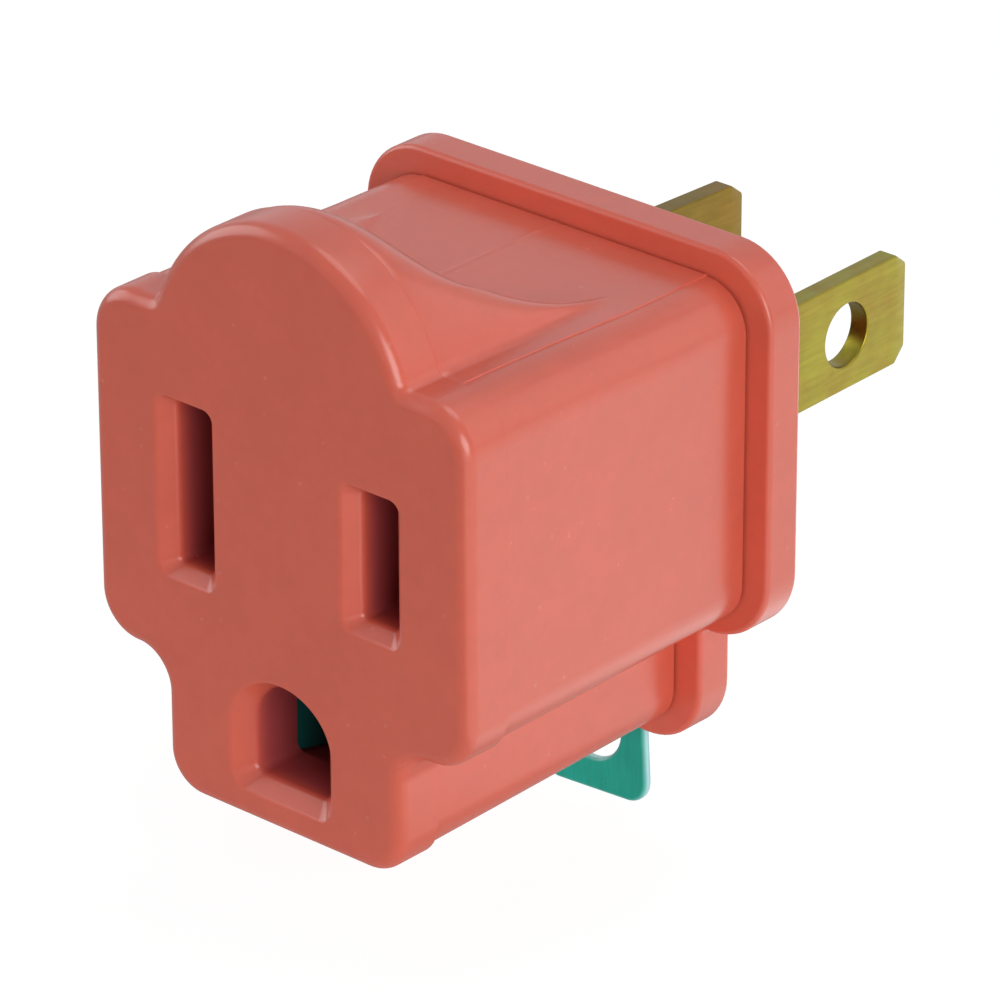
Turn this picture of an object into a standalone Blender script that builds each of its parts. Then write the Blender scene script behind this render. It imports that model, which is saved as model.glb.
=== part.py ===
# Grounding plug adapter: a three-slot socket face in front, two flat blades behind
# and a ground tab with a screw hole hanging below.
# Metres. The wall plane is y = 0, the blades point along +Y, the socket face looks along -Y, +Z is up.
# The origin is the middle of the rear cover's back face, level with the blades.

import math

import bmesh
import bpy

# Depths along Y
body_depth = 0.0243            # wall plane to socket face
slab_depth = 0.0030            # front slab that carries the full face outline
face_wall = 0.0040             # wall behind the socket face
cover_thickness = 0.00245
tongue_length = 0.0006         # lip on the housing's rear end that sits in the cover

# Gaps left between pieces: the closed joint between housing and cover, and everywhere else
joint_gap = 0.00015
clearance = 0.00025

# Front face outline
face_half_width = 0.01285
shoulder_height = 0.0100
face_underside = -0.00995      # underside of the wide block
lobe_setback = 0.00470         # side of the wide block to side of the lobe
lobe_bottom = -0.0174
face_corner_radius = 0.0027
lower_corner_radius = 0.0026   # below the wide block, on slab and body
inner_fillet = 0.0021          # hollow corner between block and lobe
lobe_corner_radius = 0.0023
face_edge_radius = 0.00085
least_flat = 0.0001            # left straight between the lower corner and the hollow one

# Dome above the shoulders, and the scoop behind it
dome_setback = 0.0041          # side of the block to side of the dome
dome_centre_height = 0.0075
dome_root_fillet = 0.0006
deck_height = 0.00948          # flat top of the body behind the scoop
scoop_length = 0.0086          # seam to the scoop's foot, on the centre line
scoop_spread = 0.0020          # how much later the scoop ends at its sides
scoop_half_width = 0.0062      # where that spread is measured
scoop_spread_end = 0.0078      # outside this the foot stays as late as it is here
scoop_spread_power = 4.0
scoop_start_power = 2.0        # higher holds the dome level for longer
scoop_foot_power = 2.3         # higher lays the foot flatter on the deck
scoop_side_power = 1.4         # the same at the sides, where the foot is a crease

# Body behind the slab
seam_step = 0.00015            # the body is this much smaller than the slab
body_corner_radius = 0.0026
side_draft = 0.00030           # further taper of the block's sides from seam to cover
lobe_draft = 0.00015           # the same for the lobe; the underside stays level
tongue_inset = 0.0008          # tongue's outline inside the body's

# Rear cover
cover_side_overhang = 0.00155  # beyond the block
cover_lobe_overhang = 0.00165  # beyond the lobe's sides
cover_top_overhang = 0.00150   # above the deck
cover_wing_overhang = 0.00095  # below the block
cover_lobe_drop = 0.0010       # below the lobe
cover_corner_radius = 0.0039
cover_lobe_corner_radius = 0.0036
cover_edge_radius = 0.00045

# Socket openings, sizes at their narrow part
contact_spacing = 0.0127       # between the two blade centres
slot_half_width = 0.00118
neutral_slot_half_height = 0.00455
hot_slot_half_height = 0.00357
slot_corner_radius = 0.00030
slot_chamfer = 0.00085
ground_drop = 0.0120           # ground hole centre below the blade line
ground_half_width = 0.00255
ground_bottom_drop = 0.00295   # flat bottom below the hole's centre
ground_corner_radius = 0.00050
ground_chamfer = 0.00100
chamfer_top_share = 0.55       # chamfers are lower above an opening than beside it
chamfer_bottom_share = 0.80    # and below it

# Pockets inside the housing
pocket_half_width = 0.0033     # round the blade's and contact's middle
pocket_half_height = 0.0050
shoulder_half_height = 0.0062  # blade shoulders, and the pocket round them
pocket_corner_radius = 0.0007
core_half_width = 0.0016       # middle pocket that keeps the wall even
core_half_height = 0.0060
core_length = 0.0150
ground_pocket_half_width = 0.0046
ground_pocket_top = -0.0086

# Blades
blade_thickness = 0.00120
blade_length = 0.01805
neutral_blade_half_height = 0.00397
hot_blade_half_height = 0.003175
blade_hole_radius = 0.0018
blade_hole_place = 0.0128
tip_cut_length = 0.0010
tip_cut_height = 0.00075
tip_taper_length = 0.0010
tip_taper_share = 0.75         # thickness left at the very tip
neutral_toe_in = 2.9           # degrees, lean towards the other blade
hot_toe_in = 1.3
shoulder_length = 0.0020
tail_length = 0.0064
tail_half_height = 0.0022

# Contact jaws and their rivets
jaw_sheet = 0.0005
neutral_jaw_half_height = 0.0032
hot_jaw_half_height = 0.0027
jaw_throat_gap = 0.0010
jaw_flare = 0.0016             # leaf centre to slot centre at the entry
jaw_throat_depth = 0.0021      # throat behind the entry
jaw_straight = 0.0020          # parallel stretch in front of the bridge
rivet_radius = 0.0009
rivet_head_radius = 0.0016
rivet_head_height = 0.0006

# Ground strap: socket jaws, strap and tab folded from one sheet
ground_sheet = 0.0006
ground_leaf_place = 0.00275    # leaf centre to the middle plane
ground_throat_gap = 0.0040
ground_flare = 0.0032
ground_leaf_top = -0.0097
ground_leaf_length = 0.0110
ground_base_start = 0.0050     # base plate begins behind the leaves' front
strap_bend_radius = 0.0006     # to the middle of the sheet
tab_half_width = 0.0038
tab_top = -0.0160
tab_bottom = -0.02412
tab_corner_radius = 0.0014
tab_hole_radius = 0.0021
tab_hole_height = -0.0201
tab_lean = 3.3                 # degrees, the tab hangs a little askew

# Fineness of round stretches
corner_steps = 7
dome_steps = 30
root_steps = 3
edge_steps = 4
scoop_rings = 14
hole_sides = 36

# Planes that several pieces share
front = -body_depth
seam = front + slab_depth
body_end = -cover_thickness - joint_gap           # rear end of the body's outline
web_face = -cover_thickness + tongue_length       # floor of the cover's recess
rim = body_end + tongue_length                    # rear end of the housing's tongue
ledge = rim - shoulder_length - clearance         # housing ledge that stops the blade shoulders
blade_place = contact_spacing / 2
lobe_half_width = face_half_width - lobe_setback
dome_radius = face_half_width - dome_setback
overcut = 0.001                                   # how far a cutter runs past its face


def srgb(red, green, blue):
    """Linear colour from 0 to 255 display values."""
    def channel(value):
        share = value / 255
        return share / 12.92 if share <= 0.04045 else ((share + 0.055) / 1.055) ** 2.4
    return (channel(red), channel(green), channel(blue), 1.0)


def finish(name, colour, roughness, metallic=0.0):
    material = bpy.data.materials.new(name)
    material.use_nodes = True
    shader = material.node_tree.nodes["Principled BSDF"]
    shader.inputs["Base Color"].default_value = colour
    shader.inputs["Roughness"].default_value = roughness
    shader.inputs["Metallic"].default_value = metallic
    material.diffuse_color = colour
    return material


def even_shading(obj):
    """Flat faces keep their own normal beside round edges."""
    modifier = obj.modifiers.new("even_shading", "WEIGHTED_NORMAL")
    modifier.keep_sharp = True


def arc(centre_u, centre_v, radius, start, end, steps):
    """Points round a centre from one angle to another, in degrees."""
    angles = [math.radians(start + (end - start) * i / steps) for i in range(steps + 1)]
    return [(centre_u + radius * math.cos(a), centre_v + radius * math.sin(a)) for a in angles]


def rounded_box(centre_x, centre_z, half_width, half_height, radius):
    """Rectangle with round corners, as points (x, z)."""
    w = half_width - radius
    h = half_height - radius
    points = []
    for sx, sz, start in ((1, 1, 90), (1, -1, 0), (-1, -1, -90), (-1, 1, -180)):
        points += arc(centre_x + sx * w, centre_z + sz * h, radius, start, start - 90, 3)
    return points


def t_outline(half_width, top, underside, lobe_width, bottom, corner, lower, inner, lobe_corner, crown=()):
    """Wide block over a narrower lobe, as points (x, z); crown replaces the flat top."""
    inner = min(inner, half_width - lower - lobe_width - least_flat)
    right = arc(half_width - corner, top - corner, corner, 90, 0, corner_steps)
    right += arc(half_width - lower, underside + lower, lower, 0, -90, corner_steps)
    right += arc(lobe_width + inner, underside - inner, inner, 90, 180, corner_steps)
    right += arc(lobe_width - lobe_corner, bottom + lobe_corner, lobe_corner, 0, -90, corner_steps)
    left = [(-x, z) for x, z in reversed(right)]
    return list(crown) + right + left


def crown_profile(inset):
    """Root fillet, dome and root fillet of the front slab, moved in evenly by inset."""
    reach = dome_radius + dome_root_fillet
    fillet_height = shoulder_height + dome_root_fillet
    fillet_place = math.sqrt(reach ** 2 - (fillet_height - dome_centre_height) ** 2)
    lean = math.degrees(math.atan2(fillet_height - dome_centre_height, fillet_place))
    half = arc(0, dome_centre_height, dome_radius - inset, 90, lean, dome_steps // 2)
    half += arc(fillet_place, fillet_height, dome_root_fillet + inset, 180 + lean, 270, root_steps)[1:]
    return [(-x, z) for x, z in reversed(half[1:])] + half


def slab_section(inset):
    """Front slab's outline, moved in evenly by inset."""
    return t_outline(face_half_width - inset, shoulder_height - inset, face_underside + inset,
                     lobe_half_width - inset, lobe_bottom + inset, face_corner_radius - inset,
                     lower_corner_radius - inset, inner_fillet + inset, lobe_corner_radius - inset,
                     crown_profile(inset))


def scoop_fall(x, behind_seam):
    """Share of the dome's height that is left: 1 at the seam, 0 from the scoop's foot on."""
    place = min(abs(x), scoop_spread_end) / scoop_half_width
    travel = min(behind_seam / (scoop_length + scoop_spread * place ** scoop_spread_power), 1.0)
    power = scoop_foot_power + (scoop_side_power - scoop_foot_power) * min(place, 1.0) ** 4
    return (1 - travel ** scoop_start_power) ** power


def body_section(y):
    """Outline of the body between the seam and the cover, where the dome sinks into the deck."""
    behind = y - seam
    share = behind / (body_end - seam)
    inset = seam_step + lobe_draft * share
    half_width = face_half_width - seam_step - side_draft * share
    shoulder = shoulder_height - seam_step
    top = deck_height + (shoulder - deck_height) * scoop_fall(half_width - body_corner_radius, behind)
    crown = [(x, deck_height + (z - deck_height) * scoop_fall(x, behind))
             for x, z in crown_profile(seam_step)]
    return t_outline(half_width, top, face_underside + seam_step, lobe_half_width - inset,
                     lobe_bottom + inset, body_corner_radius, lower_corner_radius,
                     inner_fillet + inset, lobe_corner_radius, crown)


def tongue_section(grow, crown_places=()):
    """Outline of the tongue, grown outwards evenly, with points at these places along its top."""
    inset = tongue_inset - grow
    small = seam_step + lobe_draft + inset
    top = deck_height - inset
    return t_outline(face_half_width - seam_step - side_draft - inset, top,
                     face_underside + seam_step + inset, lobe_half_width - small,
                     lobe_bottom + small, body_corner_radius - inset, lower_corner_radius - inset,
                     inner_fillet + small, lobe_corner_radius - inset,
                     [(x, top) for x in crown_places])


def cover_section(inset):
    """Cover outline: the body's rear outline plus the overhang, moved in evenly by inset."""
    out = cover_lobe_overhang - seam_step - lobe_draft - inset
    return t_outline(face_half_width + cover_side_overhang - seam_step - side_draft - inset,
                     deck_height + cover_top_overhang - inset,
                     face_underside + seam_step - cover_wing_overhang + inset,
                     lobe_half_width + out, lobe_bottom + seam_step + lobe_draft - cover_lobe_drop + inset,
                     cover_corner_radius - inset, cover_corner_radius - inset,
                     max(inner_fillet - out, 0.0003), cover_lobe_corner_radius - inset)


def add_object(name, bm, material=None):
    mesh = bpy.data.meshes.new(name)
    bmesh.ops.recalc_face_normals(bm, faces=bm.faces)
    bm.to_mesh(mesh)
    bm.free()
    if material:
        mesh.materials.append(material)
        mesh.shade_smooth()
        mesh.set_sharp_from_angle(angle=math.radians(32))
    obj = bpy.data.objects.new(name, mesh)
    bpy.context.scene.collection.objects.link(obj)
    return obj


def loft(name, sections, material=None):
    """Closed solid through (y, outline) sections with equal point counts."""
    bm = bmesh.new()
    loops = [[bm.verts.new((x, y, z)) for x, z in outline] for y, outline in sections]
    for near, far in zip(loops, loops[1:]):
        for i in range(len(near)):
            j = (i + 1) % len(near)
            bm.faces.new((near[i], near[j], far[j], far[i]))
    bm.faces.new(loops[0])
    bm.faces.new(list(reversed(loops[-1])))
    bmesh.ops.recalc_face_normals(bm, faces=bm.faces)
    bmesh.ops.triangulate(bm, faces=bm.faces, ngon_method="EAR_CLIP")
    return add_object(name, bm, material)


def prism(name, outline, axis, low, high, material=None):
    """Outline pushed along X (points y, z), Y (points x, z) or Z (points x, y)."""
    order = {"X": (2, 0, 1), "Y": (0, 2, 1), "Z": (0, 1, 2)}[axis]

    def place(u, v, w):
        return [(u, v, w)[i] for i in order]

    bm = bmesh.new()
    near = [bm.verts.new(place(u, v, low)) for u, v in outline]
    far = [bm.verts.new(place(u, v, high)) for u, v in outline]
    for i in range(len(near)):
        j = (i + 1) % len(near)
        bm.faces.new((near[i], near[j], far[j], far[i]))
    bm.faces.new(near)
    bm.faces.new(list(reversed(far)))
    return add_object(name, bm, material)


def circle(centre_u, centre_v, radius):
    return arc(centre_u, centre_v, radius, 0, 360 * (hole_sides - 1) / hole_sides, hole_sides - 1)


def boolean(target, tool, operation="DIFFERENCE"):
    """Cut or join with a hidden guide object."""
    tool.hide_render = True
    tool.display_type = "WIRE"
    modifier = target.modifiers.new(tool.name, "BOOLEAN")
    modifier.operation = operation
    modifier.solver = "EXACT"
    modifier.object = tool


def side_points(path, offset):
    """Path moved sideways by offset, with mitred corners."""
    moved = []
    for i, (u, v) in enumerate(path):
        before = path[max(i - 1, 0)]
        after = path[min(i + 1, len(path) - 1)]
        normals = []
        for a, b in ((before, (u, v)), ((u, v), after)):
            length = math.hypot(b[0] - a[0], b[1] - a[1])
            if length > 0:
                normals.append((-(b[1] - a[1]) / length, (b[0] - a[0]) / length))
        nu = sum(n[0] for n in normals) / len(normals)
        nv = sum(n[1] for n in normals) / len(normals)
        scale = offset / (nu * nu + nv * nv)
        moved.append((u + nu * scale, v + nv * scale))
    return moved


def strip(path, thickness):
    """Outline of a sheet of even thickness along a path."""
    return side_points(path, thickness / 2) + list(reversed(side_points(path, -thickness / 2)))


def opening_cutter(name, outline, chamfer):
    """Tool for a socket opening: a lead-in, 45 degrees at the sides, then straight through the wall."""
    return loft(name, [(front - chamfer, outline(2 * chamfer)), (front + chamfer, outline(0)),
                       (front + face_wall + overcut, outline(0))])


def slot_outline(side, half_height):
    def outline(grow):
        top = half_height + chamfer_top_share * grow
        bottom = -half_height - chamfer_bottom_share * grow
        return rounded_box(side * blade_place, (top + bottom) / 2, slot_half_width + grow,
                           (top - bottom) / 2, slot_corner_radius + grow / 2)
    return outline


def ground_outline(grow):
    """Arch over a flat bottom with small corners."""
    width = ground_half_width + grow
    rise = ground_half_width + chamfer_top_share * grow
    radius = ground_corner_radius + grow / 2
    bottom = -ground_drop - ground_bottom_drop - chamfer_bottom_share * grow
    points = [(width * u, rise * v - ground_drop) for u, v in arc(0, 0, 1, 180, 0, 16)]
    points += arc(width - radius, bottom + radius, radius, 0, -90, 3)
    points += arc(-width + radius, bottom + radius, radius, -90, -180, 3)
    return points


def make_housing(material):
    sections = []
    for k in range(edge_steps + 1):
        angle = math.pi / 2 * k / edge_steps
        inset = face_edge_radius * (1 - math.sin(angle))
        sections.append((front + face_edge_radius * (1 - math.cos(angle)), slab_section(inset)))
    sections.append((seam, slab_section(0)))
    longest = scoop_length + scoop_spread * (scoop_spread_end / scoop_half_width) ** scoop_spread_power
    for k in range(scoop_rings + 1):
        y = seam + longest * k / scoop_rings
        sections.append((y, body_section(y)))
    sections.append((body_end, body_section(body_end)))
    tongue = tongue_section(0, [x for x, z in crown_profile(0)])
    sections.append((body_end, tongue))
    sections.append((rim, tongue))
    housing = loft("front_housing", sections, material)

    neutral_slot = slot_outline(-1, neutral_slot_half_height)
    hot_slot = slot_outline(1, hot_slot_half_height)
    boolean(housing, opening_cutter("neutral_slot_cutter", neutral_slot, slot_chamfer))
    boolean(housing, opening_cutter("hot_slot_cutter", hot_slot, slot_chamfer))
    boolean(housing, opening_cutter("ground_hole_cutter", ground_outline, ground_chamfer))

    # Pockets open to the rear; slits behind the ledge take the blade shoulders
    inner = front + face_wall
    for side, name in ((-1, "neutral"), (1, "hot")):
        pocket = rounded_box(side * blade_place, 0, pocket_half_width, pocket_half_height,
                             pocket_corner_radius)
        boolean(housing, loft(name + "_pocket_cutter", [(inner, pocket), (rim + overcut, pocket)]))
        slit = rounded_box(side * blade_place, 0, blade_thickness / 2 + clearance,
                           shoulder_half_height + clearance, clearance)
        boolean(housing, loft(name + "_slit_cutter", [(ledge, slit), (rim + overcut, slit)]))
    core = rounded_box(0, 0, core_half_width, core_half_height, pocket_corner_radius)
    boolean(housing, loft("core_pocket_cutter", [(rim - core_length, core), (rim + overcut, core)]))
    floor = -ground_drop - ground_bottom_drop - ground_sheet / 2 - clearance
    pocket = rounded_box(0, (ground_pocket_top + floor) / 2, ground_pocket_half_width,
                         (ground_pocket_top - floor) / 2, pocket_corner_radius)
    boolean(housing, loft("ground_pocket_cutter", [(inner, pocket), (rim + overcut, pocket)]))
    return housing


def make_cover(material):
    # From the recess's floor forward to the front face, over its flat, then round the edges to the back
    recess = tongue_section(clearance)
    sections = [(web_face, recess), (-cover_thickness, recess)]
    angles = [math.pi / 2 * k / edge_steps for k in range(edge_steps + 1)]
    for angle in angles:
        inset = cover_edge_radius * (1 - math.sin(angle))
        sections.append((-cover_thickness + cover_edge_radius * (1 - math.cos(angle)), cover_section(inset)))
    for angle in reversed(angles):
        inset = cover_edge_radius * (1 - math.sin(angle))
        sections.append((-cover_edge_radius * (1 - math.cos(angle)), cover_section(inset)))
    cover = loft("rear_cover", sections, material)

    for side, half_height, name in ((-1, neutral_blade_half_height, "neutral_exit_cutter"),
                                    (1, hot_blade_half_height, "hot_exit_cutter")):
        gap = rounded_box(side * blade_place, 0, blade_thickness / 2 + clearance, half_height + clearance,
                          clearance / 2)
        boolean(cover, loft(name, [(web_face - overcut, gap), (overcut, gap)]))
    # Strap exit, and the shallow channel that lets the tab lie flush
    strap_middle = -ground_drop - ground_bottom_drop
    strap_half_width = ground_leaf_place + ground_sheet / 2
    gap = rounded_box(0, strap_middle, strap_half_width + clearance, ground_sheet / 2 + clearance,
                      clearance / 2)
    boolean(cover, loft("strap_exit_cutter", [(web_face - overcut, gap), (overcut, gap)]))
    channel_top = strap_middle + ground_sheet / 2 + clearance
    channel_bottom = lobe_bottom - cover_lobe_drop - overcut
    w = tab_half_width + clearance + (strap_middle - channel_bottom) * math.tan(math.radians(tab_lean))
    channel = [(-w, channel_bottom), (w, channel_bottom), (w, channel_top), (-w, channel_top)]
    boolean(cover, prism("tab_channel_cutter", channel, "Y", -ground_sheet - clearance, overcut))
    return cover


def blade_outline(half_height):
    """Tip with cut corners, shoulders behind the cover and a narrow tail, as points (y, z)."""
    shoulder_front = rim - shoulder_length
    tail_end = shoulder_front - tail_length
    upper = [(blade_length, half_height - tip_cut_height), (blade_length - tip_cut_length, half_height),
             (rim, half_height), (rim, shoulder_half_height), (shoulder_front, shoulder_half_height),
             (shoulder_front, tail_half_height), (tail_end, tail_half_height)]
    return upper + [(y, -z) for y, z in reversed(upper)]


def rivet_place():
    """Middle of the stretch where tail and strap lie side by side."""
    return rim - shoulder_length - tail_length / 2


def make_blade(name, side, half_height, toe_in, material):
    middle = side * blade_place
    slope = math.tan(math.radians(toe_in))
    half = blade_thickness / 2
    blade = prism(name, blade_outline(half_height), "X", middle - half, middle + half, material)
    bm = bmesh.new()
    bm.from_mesh(blade.data)
    taper_start = blade_length - tip_taper_length
    for y in (0.0, taper_start):
        geometry = bm.verts[:] + bm.edges[:] + bm.faces[:]
        bmesh.ops.bisect_plane(bm, geom=geometry, dist=1e-7, plane_co=(0, y, 0), plane_no=(0, 1, 0))
    for vertex in bm.verts:
        if vertex.co.y > taper_start:
            share = (vertex.co.y - taper_start) / tip_taper_length
            vertex.co.x = middle + (vertex.co.x - middle) * (1 - (1 - tip_taper_share) * share)
        if vertex.co.y > 0:
            vertex.co.x -= side * slope * vertex.co.y
    bm.to_mesh(blade.data)
    bm.free()
    reach = half + slope * blade_length + overcut
    boolean(blade, prism(name + "_hole_cutter", circle(blade_hole_place, 0, blade_hole_radius), "X",
                         middle - reach, middle + reach))
    boolean(blade, prism(name + "_rivet_cutter", circle(rivet_place(), 0, rivet_radius + clearance), "X",
                         middle - half - overcut, middle + half + overcut))
    return blade


def leaf_place():
    """Contact leaf's centre to blade centre, where it lies along the tail."""
    return blade_thickness / 2 + clearance + jaw_sheet / 2


def make_contact(name, side, half_height, material):
    """Spring jaws as an h-shaped outline (x, y): a strap with one leaf, and a bridge with the other."""
    entry = front + face_wall + clearance
    throat = entry + jaw_throat_depth
    bridge_rear = rim - shoulder_length - tail_length - clearance
    bridge_front = bridge_rear - jaw_sheet
    bend = bridge_front - jaw_straight
    strap_end = rim - shoulder_length - clearance
    place = leaf_place()
    throat_place = jaw_throat_gap / 2 + jaw_sheet / 2
    leaf = [(place, strap_end), (place, bend), (throat_place, throat), (jaw_flare, entry)]
    out = side_points(leaf, jaw_sheet / 2)
    inn = side_points(leaf, -jaw_sheet / 2)
    outer, inner = (out, inn) if out[0][0] > inn[0][0] else (inn, out)
    half = [outer[0]] + outer[1:] + list(reversed(inner[1:])) + [(inner[0][0], bridge_front)]
    other = [(-x, y) for x, y in reversed(half[1:])]
    outline = half + other + [(-outer[0][0], bridge_rear), (inner[0][0], bridge_rear), inner[0]]
    outline = [(side * (blade_place + u), v) for u, v in outline]
    contact = prism(name, outline, "Z", -half_height, half_height, material)
    # The strap part is no taller than the tail it lies on
    for sign in (-1, 1):
        trim = prism(name + ("_upper_trim" if sign > 0 else "_lower_trim"),
                     [(side * (blade_place - 2 * place), bridge_rear + clearance),
                      (side * (blade_place + 2 * place), bridge_rear + clearance),
                      (side * (blade_place + 2 * place), strap_end + overcut),
                      (side * (blade_place - 2 * place), strap_end + overcut)],
                     "Z", min(sign * tail_half_height, sign * 2 * half_height),
                     max(sign * tail_half_height, sign * 2 * half_height))
        boolean(contact, trim)
    reach = 2 * place
    boolean(contact, prism(name + "_rivet_cutter", circle(rivet_place(), 0, rivet_radius + clearance), "X",
                           side * blade_place - reach, side * blade_place + reach))
    return contact


def make_rivet(name, side, material):
    """Shank through blade tail and strap, with a domed head at each end, turned about X."""
    inner_face = -(blade_thickness / 2 + clearance)
    outer_face = leaf_place() + jaw_sheet / 2 + clearance
    head = [(rivet_head_height, 0.0), (rivet_head_height, rivet_head_radius * 0.6),
            (rivet_head_height * 0.6, rivet_head_radius * 0.9), (0, rivet_head_radius), (0, rivet_radius)]
    profile = [(inner_face - height, radius) for height, radius in head]
    profile += [(outer_face + height, radius) for height, radius in reversed(head)]
    sides = 20
    bm = bmesh.new()
    rings = []
    for u, radius in profile:
        x = side * (blade_place + u)
        if radius == 0:
            rings.append([bm.verts.new((x, rivet_place(), 0))])
        else:
            rings.append([bm.verts.new((x, y, z)) for y, z in
                          arc(rivet_place(), 0, radius, 0, 360 * (sides - 1) / sides, sides - 1)])
    for near, far in zip(rings, rings[1:]):
        for i in range(sides):
            j = (i + 1) % sides
            corners = [near[i % len(near)], near[j % len(near)], far[j % len(far)], far[i % len(far)]]
            bm.faces.new(list(dict.fromkeys(corners)))
    return add_object(name, bm, material)


def turned(points, height):
    """Points (x, z) turned by the tab's lean about the middle plane at this height."""
    c = math.cos(math.radians(tab_lean))
    s = math.sin(math.radians(tab_lean))
    return [(x * c - (z - height) * s, height + x * s + (z - height) * c) for x, z in points]


def make_ground_strap(material):
    """Socket jaws on a base plate that runs out through the cover and folds down into the tab."""
    entry = front + face_wall + clearance
    leaf_end = entry + ground_leaf_length
    base_height = -ground_drop - ground_bottom_drop
    half = ground_sheet / 2
    half_width = ground_leaf_place + half

    tab_middle = -half
    bend_start = tab_middle - strap_bend_radius
    path = [(entry + ground_base_start, base_height)]
    path += arc(bend_start, base_height - strap_bend_radius, strap_bend_radius, 90, 0, 5)
    path.append((tab_middle, tab_top - tab_corner_radius))
    strap = prism("ground_strap", strip(path, ground_sheet), "X", -half_width, half_width, material)

    throat_place = ground_throat_gap / 2 + half
    for side, name in ((-1, "ground_leaf_left"), (1, "ground_leaf_right")):
        leaf = [(side * ground_leaf_place, leaf_end), (side * ground_leaf_place, entry + ground_base_start),
                (side * throat_place, entry + jaw_throat_depth), (side * ground_flare, entry)]
        boolean(strap, prism(name, strip(leaf, ground_sheet), "Z", base_height - half, ground_leaf_top), "UNION")

    corner = tab_corner_radius
    w = tab_half_width - corner
    tab = arc(w, tab_bottom + corner, corner, 0, -90, 5) + arc(-w, tab_bottom + corner, corner, -90, -180, 5)
    tab += arc(-tab_half_width + half, tab_top - half, half, 180, 90, 3)
    tab += arc(tab_half_width - half, tab_top - half, half, 90, 0, 3)
    hole = circle(0, tab_hole_height, tab_hole_radius)
    boolean(strap, prism("tab_plate", turned(tab, base_height), "Y", -ground_sheet, 0), "UNION")
    boolean(strap, prism("tab_hole_cutter", turned(hole, base_height), "Y",
                         -ground_sheet - overcut, overcut))
    return strap


for old in list(bpy.data.objects):
    bpy.data.objects.remove(old, do_unlink=True)

plastic = finish("salmon_plastic", srgb(212, 104, 88), 0.35)
brass = finish("blade_brass", srgb(181, 164, 72), 0.35, 1.0)
bronze = finish("spring_bronze", srgb(176, 132, 78), 0.30, 1.0)
rivet_metal = finish("rivet_brass", srgb(190, 170, 110), 0.35, 1.0)
green_metal = finish("green_plated_steel", srgb(28, 138, 116), 0.40)

even_shading(make_housing(plastic))
even_shading(make_cover(plastic))
make_blade("neutral_blade", -1, neutral_blade_half_height, neutral_toe_in, brass)
make_blade("hot_blade", 1, hot_blade_half_height, hot_toe_in, brass)
make_contact("neutral_contact", -1, neutral_jaw_half_height, bronze)
make_contact("hot_contact", 1, hot_jaw_half_height, bronze)
make_rivet("neutral_rivet", -1, rivet_metal)
make_rivet("hot_rivet", 1, rivet_metal)
make_ground_strap(green_metal)
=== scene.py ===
# Grounding plug adapter dressed for a studio picture: salmon mouldings, brass blades, green tab.
# Shapes are numpy grids in millimetres, turned to metres when a mesh is made. The frame's boxes
# give the main sizes, and each piece's own values stand in one dictionary beside its code.

import math

import bmesh
import bpy
import numpy as np
from mathutils import Matrix, Vector


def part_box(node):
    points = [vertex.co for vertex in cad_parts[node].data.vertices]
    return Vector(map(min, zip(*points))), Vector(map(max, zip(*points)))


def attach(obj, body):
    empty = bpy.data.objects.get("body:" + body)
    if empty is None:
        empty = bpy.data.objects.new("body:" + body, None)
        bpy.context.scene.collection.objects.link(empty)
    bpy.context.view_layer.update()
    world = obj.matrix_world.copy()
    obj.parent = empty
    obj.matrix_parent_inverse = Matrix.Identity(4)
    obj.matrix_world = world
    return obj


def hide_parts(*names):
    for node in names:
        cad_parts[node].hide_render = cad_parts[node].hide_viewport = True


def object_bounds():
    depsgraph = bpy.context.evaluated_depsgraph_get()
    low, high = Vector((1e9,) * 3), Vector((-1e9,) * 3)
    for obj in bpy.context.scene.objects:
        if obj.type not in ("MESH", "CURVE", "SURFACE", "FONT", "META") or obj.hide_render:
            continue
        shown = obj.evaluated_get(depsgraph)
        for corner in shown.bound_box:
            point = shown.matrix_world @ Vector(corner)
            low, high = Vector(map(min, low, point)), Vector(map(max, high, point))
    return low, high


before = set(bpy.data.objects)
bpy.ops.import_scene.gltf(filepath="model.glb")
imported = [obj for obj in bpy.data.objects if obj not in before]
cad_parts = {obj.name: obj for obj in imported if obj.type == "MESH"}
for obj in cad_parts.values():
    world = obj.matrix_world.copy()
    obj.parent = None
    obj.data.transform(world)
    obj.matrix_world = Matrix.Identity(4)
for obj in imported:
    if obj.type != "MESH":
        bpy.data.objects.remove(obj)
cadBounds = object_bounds()
millimetre = 0.001
print("frame loaded:", len(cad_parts), "nodes")


def nodeBox(name):
    # lowest and highest corner of a frame node, in millimetres
    low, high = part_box(name)
    return np.array(low) / millimetre, np.array(high) / millimetre


housingLow, housingHigh = nodeBox("front_housing")
coverLow, coverHigh = nodeBox("rear_cover")
neutralTip = nodeBox("neutral_blade")[1][1]
hotTip = nodeBox("hot_blade")[1][1]
strapLow = nodeBox("ground_strap")[0]

# Values that several pieces share
shared = dict(
    clearance=0.25,          # gap round what passes through a moulding
    jointGap=0.15,           # closed joint between housing and cover
    bladeSpacing=12.7,
    bladeThickness=1.2,
    shoulderHalfHeight=6.2,  # blade shoulders held behind the cover
    shoulderLength=2.0,
    groundDrop=12.0,         # ground hole centre below the blade line
    groundBottom=2.95,       # flat bottom below that centre
    sheet=0.6,               # green sheet metal
    leafPlace=2.75,          # ground jaws, leaf centre to the middle plane
)
bladePlace = shared["bladeSpacing"] / 2
frontY = housingLow[1]
coverFace = coverLow[1]
bodyEnd = coverFace - shared["jointGap"]
rimY = housingHigh[1]
strapHeight = -shared["groundDrop"] - shared["groundBottom"]


def column(value):
    # one value for each row, ready to meet a row of points
    return np.reshape(np.asarray(value, float), (-1, 1))


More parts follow.
